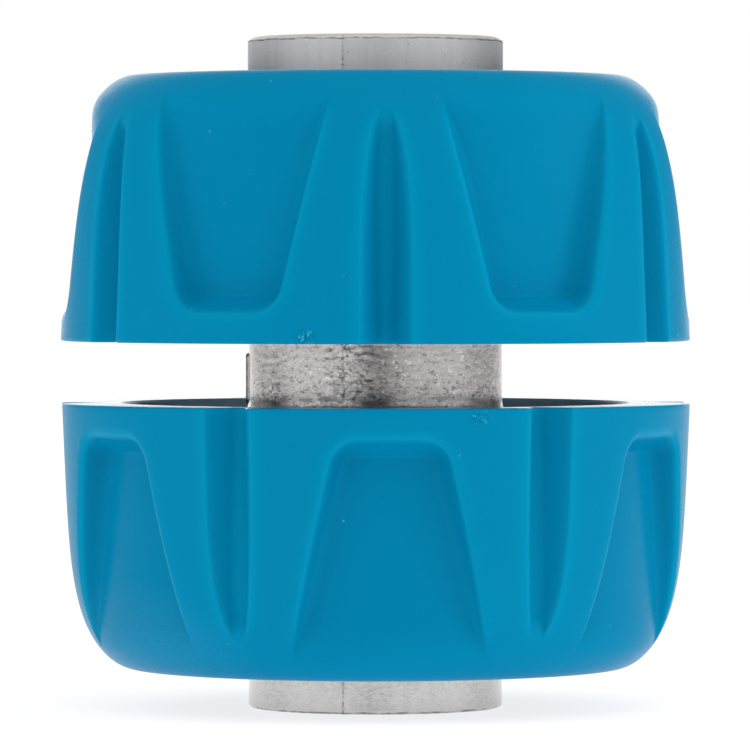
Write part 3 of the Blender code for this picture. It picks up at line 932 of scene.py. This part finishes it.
def blue_plastic(name, scar, sheen_spot, sheen_reach, mouth_height, groove_painted_light, seed):
    """Satin plastic: painted highlights on the lips, painted sheen on the crown, painted reflection in
    the mouth, and a broken-off gate by the rim.
    """
    material, tree, shader = new_material(name)
    spot = object_coordinates(tree)
    tone = mix_colours(tree, noise_texture(tree, spot, BLUE_CLOUD_SCALE), *BLUE_CLOUD)
    # Painted highlight on the lips, painted shade by the pocket walls, painted light in the grooves
    painted_light_and_shade_marks = (
        ("lip", LIP_HIGHLIGHT_BLUE, 1.0),
        ("wall", WALL_SHADE_BLUE, WALL_SHADE),
        ("groove", GROOVE_PAINTED_LIGHT_BLUE, groove_painted_light),
    )
    for mark, colour, strength in painted_light_and_shade_marks:
        stored = node(tree, "ShaderNodeAttribute", attribute_name=mark)
        tone = tint(tree, tone, colour, stored.outputs["Fac"], strength)

    shifted = node(tree, "ShaderNodeVectorMath", operation="ADD")
    tree.links.new(spot, shifted.inputs[0])
    shifted.inputs[1].default_value = (seed, 2 * seed, 3 * seed)
    flecks = noise_texture(tree, shifted.outputs["Vector"], FLECK_SCALE, detail=1.0)
    tone = tint(tree, tone, FLECK_BLUE, map_range(tree, flecks, *FLECK_RANGE))

    # Painted sheen of a grazing reflection on the crown, speckled, fading from one spot
    from_sheen = distance_to(tree, spot, sheen_spot, (1.0, 1.0, SHEEN_FLATNESS))
    speckle = noise_texture(tree, spot, SPECKLE_SCALE, detail=3.0, roughness=0.7)
    sheen = map_range(tree, from_sheen, SHEEN_CORE, sheen_reach, 1.0, 0.0)
    tone = tint(tree, tone, SHEEN_BLUE, sheen, map_range(tree, speckle, *SPECKLE_RANGE))

    axes = separated(tree, spot)
    depth = absolute(tree, subtract(tree, axes["Z"], mouth_height / MM))
    in_mouth = map_range(tree, axis_distance(tree, axes), *MOUTH_WIDTH_RANGE)
    # Painted reflection on the bore's top, next to the mouth
    tone = tint(tree, tone, MOUTH_REFLECTION_BLUE, in_mouth, map_range(tree, depth, *MOUTH_DEPTH_RANGE))
    rim_face = map_range(tree, depth, *RIM_FACE_RANGE)

    near_scar = map_range(tree, distance_to(tree, spot, scar, SCAR_STRETCH), *SCAR_RANGE)
    chips = noise_texture(tree, spot, CHIP_SCALE, detail=3.0, distortion=0.8)
    tone = tint(tree, tone, TORN_BLUE, near_scar, map_range(tree, chips, *TORN_RANGE))
    tone = tint(tree, tone, TORN_PIT_BLUE, near_scar, map_range(tree, chips, *TORN_PIT_RANGE))
    tree.links.new(tone, shader.inputs["Base Color"])

    grain = noise_texture(tree, spot, BLUE_GRAIN_SCALE)
    roughness = map_range(tree, grain, *BLUE_ROUGHNESS_RANGE)
    roughness = subtract(tree, roughness, multiply(tree, rim_face, RIM_FACE_GLOSS))
    tree.links.new(roughness, shader.inputs["Roughness"])
    skin = bump(tree, grain, BLUE_GRAIN_BUMP)
    skin = bump(tree, multiply(tree, chips, near_scar), SCAR_BUMP, skin)
    tree.links.new(skin, shader.inputs["Normal"])
    shader.inputs["IOR"].default_value = PLASTIC_IOR
    return material


def unrolled_coordinates(tree):
    """Place on the casting, unrolled: distance round from the front parting line, radius, height."""
    turned = node(tree, "ShaderNodeVectorRotate", rotation_type="Z_AXIS")
    turned.inputs["Angle"].default_value = -SEAM_ANGLE
    tree.links.new(object_coordinates(tree), turned.inputs["Vector"])
    axes = separated(tree, turned.outputs["Vector"])
    around = multiply(tree, math_node(tree, "ARCTAN2", axes["Y"], axes["X"]), TUBE_RADIUS / MM)
    unrolled = node(tree, "ShaderNodeCombineXYZ")
    for socket, value in (("X", around), ("Y", axis_distance(tree, axes)), ("Z", axes["Z"])):
        tree.links.new(value, unrolled.inputs[socket])
    return unrolled.outputs["Vector"], axes["Y"], axes["Z"]


def cast_zones(tree, side, height):
    """Masks of the casting's zones; side is the distance to the right of the front parting line."""
    across = absolute(tree, side)
    rise = subtract(tree, height, MIDDLE / MM)
    neck = map_range(tree, absolute(tree, rise), *NECK_RANGE)
    dull = multiply(tree, map_range(tree, side, *DULL_RANGE), neck)
    return {
        "top": map_range(tree, height, *TOP_RANGE),
        "bottom": map_range(tree, height, *BOTTOM_RANGE),
        "neck": neck,
        "low_neck": map_range(tree, rise, *LOW_NECK_RANGE),
        "dull": dull,
        "scoured": multiply(tree, map_range(tree, side, *SCOURED_RANGE), dull),
        # Painted shade on the right flank
        "flank": map_range(tree, side, *FLANK_SHADE_RANGE),
        "by_seam": map_range(tree, across, *BY_SEAM_RANGE),
        "beside_seam": map_range(tree, across, *BESIDE_SEAM_RANGE),
    }


def hair_lines(tree, place, lines, spread):
    """Thin winding lines, where a noise crosses its middle value, kept only in patches."""
    scale, width, patch_scale = lines
    away = subtract(tree, noise_texture(tree, place, scale, distortion=LINE_DISTORTION), 0.5)
    drawn = map_range(tree, absolute(tree, away), width / 2, width, 1.0, 0.0)
    patches = add(tree, noise_texture(tree, place, patch_scale, detail=1.0), spread)
    return multiply(tree, drawn, map_range(tree, patches, *PATCH_RANGE))


def cast_wrinkles(tree, place, zones):
    """Cold-flow wrinkles, densest by the parting line and at the neck's foot, and winding lines of
    painted highlight where folds catch the light.
    """
    spread = add(tree, multiply(tree, zones["by_seam"], SEAM_SPREAD), WRINKLE_SPREAD)
    spread = add(tree, spread, multiply(tree, zones["low_neck"], LOW_NECK_SPREAD))
    wrinkles = multiply(tree, hair_lines(tree, place, WRINKLE_LINES, spread), WRINKLE_DARKNESS)
    fine = hair_lines(tree, place, FINE_LINES, add(tree, spread, FINE_SPREAD))
    wrinkles = math_node(tree, "MAXIMUM", wrinkles, multiply(tree, fine, FINE_DARKNESS))
    return wrinkles, hair_lines(tree, place, FOLD_HIGHLIGHT_LINES, FOLD_HIGHLIGHT_SPREAD)


def add_seam_dirt_and_rib_shade(tree, tone, place, side, zones):
    """Dirt in the swaying parting line, blots beside it on the neck, and painted dark reflection along
    the flash rib.
    """
    sway = map_range(tree, noise_texture(tree, place, SWAY_SCALE, detail=1.0), *SWAY_RANGE)
    from_seam = absolute(tree, add(tree, absolute(tree, side), sway))
    dirt = map_range(tree, noise_texture(tree, place, SEAM_DIRT_SCALE, detail=3.0), *SEAM_DIRT_RANGE)
    tone = tint(tree, tone, SEAM_TONE, map_range(tree, from_seam, *SEAM_RANGE), dirt)
    blots = noise_texture(tree, place, BLOT_SCALE, detail=3.0, distortion=1.0)
    blots = multiply(tree, map_range(tree, blots, *BLOT_RANGE), zones["beside_seam"])
    tone = tint(tree, tone, BLOT_TONE, blots, zones["neck"])
    # Painted dark reflection along the flash rib
    rib = (TUBE_RADIUS * math.cos(FLASH_RIB_ANGLE), TUBE_RADIUS * math.sin(FLASH_RIB_ANGLE), 0.0)
    from_rib = distance_to(tree, object_coordinates(tree), rib, (1.0, 1.0, 0.0))
    return tint(tree, tone, RIB_SHADE_TONE, map_range(tree, from_rib, *RIB_SHADE_RANGE), zones["neck"])


def add_edge_shade(tree, tone, place, height):
    """Painted shade: patchy, slightly wavy dark lines along the bevels of both tube ends, for their
    shade and dark reflection.
    """
    wobble = map_range(tree, noise_texture(tree, place, WOBBLE_SCALE, detail=3.0), *WOBBLE_RANGE)
    patchy = map_range(tree, noise_texture(tree, place, EDGE_PATCH_SCALE), *EDGE_PATCH_RANGE)
    for edge, half_width in EDGE_SHADE_LINES:
        away = absolute(tree, add(tree, subtract(tree, height, edge), wobble))
        line = map_range(tree, away, half_width / 3, half_width, 1.0, 0.0)
        tone = tint(tree, tone, EDGE_SHADE_TONE, line, patchy)
    return tone


def cast_metal():
    """Die-cast metal: a wrinkled neck, smoother ends, pits, and a dirty parting line."""
    material, tree, shader = new_material("die_cast_metal")
    place, side, height = unrolled_coordinates(tree)
    zones = cast_zones(tree, side, height)
    neck = zones["neck"]

    cloud = noise_texture(tree, place, CAST_CLOUD_SCALE, detail=3.0)
    tone = mix_colours(tree, cloud, *CAST_CLOUD)
    for zone, colour, strength in CAST_LAYERS:
        tone = tint(tree, tone, colour, zones[zone], strength)
    streaks = noise_texture(tree, place, STREAK_SCALE, detail=3.0)
    tone = tint(tree, tone, STREAK_TONE, map_range(tree, streaks, *STREAK_RANGE))
    grain = noise_texture(tree, scaled(tree, place, CAST_GRAIN_STRETCH), CAST_GRAIN_SCALE)
    cover = add(tree, multiply(tree, neck, NECK_GRAIN_COVER), GRAIN_COVER)
    cover = add(tree, multiply(tree, zones["scoured"], SCOURED_GRAIN_COVER), cover)
    tone = tint(tree, tone, GRAIN_TONE, map_range(tree, grain, *CAST_GRAIN_RANGE), cover)

    wrinkles, fold_highlights = cast_wrinkles(tree, place, zones)
    tone = tint(tree, tone, WRINKLE_TONE, wrinkles, neck)
    # Painted highlight along the neck's folds
    tone = tint(tree, tone, FOLD_HIGHLIGHT_TONE, multiply(tree, fold_highlights, neck), FOLD_HIGHLIGHT_COVER)
    pits = noise_texture(tree, place, CAST_PIT_SCALE, detail=1.0, distortion=0.5)
    spots = noise_texture(tree, place, PIT_SPOT_SCALE, detail=1.0)
    pit_edge = subtract(tree, PIT_EDGE, multiply(tree, spots, PIT_SPOT_SHARE))
    pit_depth = multiply(tree, subtract(tree, pits, pit_edge), PIT_STEEPNESS)
    tone = tint(tree, tone, CAST_PIT_TONE, map_range(tree, pit_depth, *CAST_PIT_RANGE))
    tone = add_seam_dirt_and_rib_shade(tree, tone, place, side, zones)
    tone = add_edge_shade(tree, tone, place, height)
    tree.links.new(tone, shader.inputs["Base Color"])
    shader.inputs["Metallic"].default_value = 1.0

    roughness = CAST_ROUGHNESS
    for zone, more in ZONE_ROUGHNESS:
        roughness = add(tree, roughness, multiply(tree, zones[zone], more))
    roughness = add(tree, roughness, map_range(tree, grain, *GRAIN_ROUGHNESS_RANGE))
    tree.links.new(roughness, shader.inputs["Roughness"])
    skin = bump(tree, wrinkles, WRINKLE_BUMP)
    skin = bump(tree, grain, CAST_GRAIN_BUMP, skin)
    tree.links.new(bump(tree, cloud, CAST_CLOUD_BUMP, skin), shader.inputs["Normal"])
    return material


def grey_plastic():
    """Dark grey plastic of the collets: flow clouds, fine grain, and paler rubbed streaks round it."""
    material, tree, shader = new_material("grey_collet_plastic")
    spot = object_coordinates(tree)
    tone = mix_colours(tree, noise_texture(tree, spot, COLLET_CLOUD_SCALE), *COLLET_CLOUD)
    rubs = noise_texture(tree, spot, COLLET_RUB_SCALE, detail=3.0)
    tone = tint(tree, tone, COLLET_RUB_TONE, map_range(tree, rubs, *COLLET_RUB_RANGE))
    tree.links.new(tone, shader.inputs["Base Color"])
    grain = noise_texture(tree, spot, COLLET_GRAIN_SCALE)
    tree.links.new(map_range(tree, grain, *COLLET_ROUGHNESS_RANGE), shader.inputs["Roughness"])
    tree.links.new(bump(tree, grain, COLLET_GRAIN_BUMP), shader.inputs["Normal"])
    return material


def seen_directly(tree):
    """1 for camera, glossy and transmission rays, which see the white studio itself."""
    path = node(tree, "ShaderNodeLightPath").outputs
    seen = math_node(tree, "MAXIMUM", path["Is Camera Ray"], path["Is Glossy Ray"])
    return math_node(tree, "MAXIMUM", seen, path["Is Transmission Ray"])


def floor_material():
    """White floor: its own glow where it is seen, and a thin coat of paint that takes the shadow."""
    material, tree, shader = new_material("white_floor")
    tree.nodes.remove(shader)
    seen = seen_directly(tree)
    paint = node(tree, "ShaderNodeBsdfDiffuse")
    tree.links.new(map_range(tree, seen, 0.0, 1.0, FLOOR_PAINT, SEEN_PAINT), paint.inputs["Color"])
    glow = node(tree, "ShaderNodeEmission")
    tree.links.new(map_range(tree, seen, 0.0, 1.0, FLOOR_GLOW, SEEN_GLOW), glow.inputs["Strength"])
    both = node(tree, "ShaderNodeAddShader")
    tree.links.new(paint.outputs["BSDF"], both.inputs[0])
    tree.links.new(glow.outputs["Emission"], both.inputs[1])
    tree.links.new(both.outputs["Shader"], tree.nodes["Material Output"].inputs["Surface"])
    return material


def make_floor():
    mesh = bpy.data.meshes.new("floor")
    half = FLOOR_HALF_WIDTH
    corners = [(-half, -half, 0.0), (half, -half, 0.0), (half, half, 0.0), (-half, half, 0.0)]
    mesh.from_pydata(corners, [], [(0, 1, 2, 3)])
    mesh.materials.append(floor_material())
    floor = bpy.data.objects.new("floor", mesh)
    bpy.context.collection.objects.link(floor)
    floor.location.z = -FLOOR_DROP


def tent_wall(tree, axes):
    """Level of the tent's wall in a direction."""
    wall = node(tree, "ShaderNodeValToRGB")
    ramp = wall.color_ramp
    ramp.interpolation = "EASE"
    while len(ramp.elements) < len(TENT_LEVELS):
        ramp.elements.new(0.5)
    for element, (azimuth, level) in zip(ramp.elements, TENT_LEVELS):
        element.position = 0.5 + azimuth / 360
        element.color = (level, level, level, 1.0)
    azimuth = math_node(tree, "ARCTAN2", axes["X"], multiply(tree, axes["Y"], -1.0))
    tree.links.new(map_range(tree, azimuth, -math.pi, math.pi, 0.0, 1.0), wall.inputs["Fac"])
    return wall.outputs["Color"]


def make_world():
    """White light tent with a gap for the camera and gaps behind its side walls."""
    world = bpy.data.worlds.new("studio")
    bpy.context.scene.world = world
    world.use_nodes = True
    tree = world.node_tree
    background = tree.nodes["Background"]
    background.inputs["Color"].default_value = (1.0, 1.0, 1.0, 1.0)
    axes = separated(tree, node(tree, "ShaderNodeTexCoord").outputs["Generated"])
    tent = node(tree, "ShaderNodeMix", data_type="FLOAT")
    tree.links.new(map_range(tree, absolute(tree, axes["Z"]), *ROOF_BLEND_RANGE), tent.inputs[0])
    tree.links.new(tent_wall(tree, axes), tent.inputs[2])
    tree.links.new(map_range(tree, axes["Y"], *ROOF_RANGE), tent.inputs[3])
    seen = node(tree, "ShaderNodeLightPath").outputs["Is Camera Ray"]
    strength = node(tree, "ShaderNodeMix", data_type="FLOAT")
    tree.links.new(seen, strength.inputs[0])
    tree.links.new(tent.outputs[0], strength.inputs[2])
    strength.inputs[3].default_value = 1.0
    tree.links.new(strength.outputs[0], background.inputs["Strength"])


def softbox(name, azimuth, elevation, width, height, power):
    """Area lamp round the object; azimuth 0 is the camera's side, positive to its right."""
    turn = math.radians(azimuth)
    lift = math.radians(elevation)
    target = Vector((0.0, 0.0, MIDDLE))
    flat = math.cos(lift)
    direction = Vector((math.sin(turn) * flat, -math.cos(turn) * flat, math.sin(lift)))
    data = bpy.data.lights.new(name, "AREA")
    data.shape = "RECTANGLE"
    data.size = width
    data.size_y = height
    data.energy = power
    lamp = bpy.data.objects.new(name, data)
    bpy.context.collection.objects.link(lamp)
    lamp.location = target + direction * SOFTBOX_DISTANCE
    lamp.rotation_euler = direction.to_track_quat("Z", "Y").to_euler()
    lamp.visible_glossy = False


def make_camera():
    data = bpy.data.cameras.new("camera")
    data.lens = CAMERA_LENS
    data.sensor_width = CAMERA_SENSOR
    data.clip_start, data.clip_end = CAMERA_CLIP
    camera = bpy.data.objects.new("camera", data)
    bpy.context.collection.objects.link(camera)
    camera.location = (CAMERA_AIM.x, -CAMERA_DISTANCE, MIDDLE + CAMERA_RISE)
    camera.rotation_euler = (CAMERA_AIM - camera.location).to_track_quat("-Z", "Y").to_euler()
    bpy.context.scene.camera = camera


def nut_point(azimuth, height, side):
    """Place on a nut's outside; side is 1 for the upper nut, -1 for the lower."""
    turn = math.radians(azimuth)
    level = MIDDLE + side * (NUT_MOUTH + height)
    return (RIM_RADIUS * math.sin(turn), -RIM_RADIUS * math.cos(turn), level)


def add_nut(prefix, side, turn, scar, sheen, sheen_reach, groove_painted_light, seed):
    """One nut with its plastic; side is 1 for the upper nut, -1 for the lower."""
    scar_point = nut_point(*scar, side)
    sheen_point = nut_point(*sheen, side)
    mouth_height = MIDDLE + side * NUT_MOUTH
    plastic = blue_plastic(
        prefix + "_blue_plastic", scar_point, sheen_point, sheen_reach, mouth_height, groove_painted_light, seed
    )
    mesh = mesh_from_rings(prefix + "_moulding", nut_rings())
    mark_grip_light_and_shade(mesh)
    place_half(mesh, side < 0, turn)
    add_piece(prefix + "_moulding", mesh, plastic, prefix + "_clamp", prefix + "_nut")


core_mesh = mesh_from_rings("core_casting", core_rings())
place_half(core_mesh, False, 0.0)
add_piece("core_casting", core_mesh, cast_metal(), "core", "core_body")
add_nut("upper", 1, UPPER_GRIP_TURN, UPPER_SCAR, UPPER_SHEEN,
        UPPER_SHEEN_REACH, UPPER_GROOVE_PAINTED_LIGHT, UPPER_FLECK_SEED)
add_nut("lower", -1, LOWER_GRIP_TURN, LOWER_SCAR, LOWER_SHEEN,
        LOWER_SHEEN_REACH, LOWER_GROOVE_PAINTED_LIGHT, LOWER_FLECK_SEED)
grey = grey_plastic()
for name in ("upper_collet", "lower_collet"):
    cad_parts[name].material_slots[0].material = grey

make_floor()
make_world()
for settings in SOFTBOXES:
    softbox(*settings)
make_camera()
bpy.context.scene.view_settings.view_transform = "Standard"
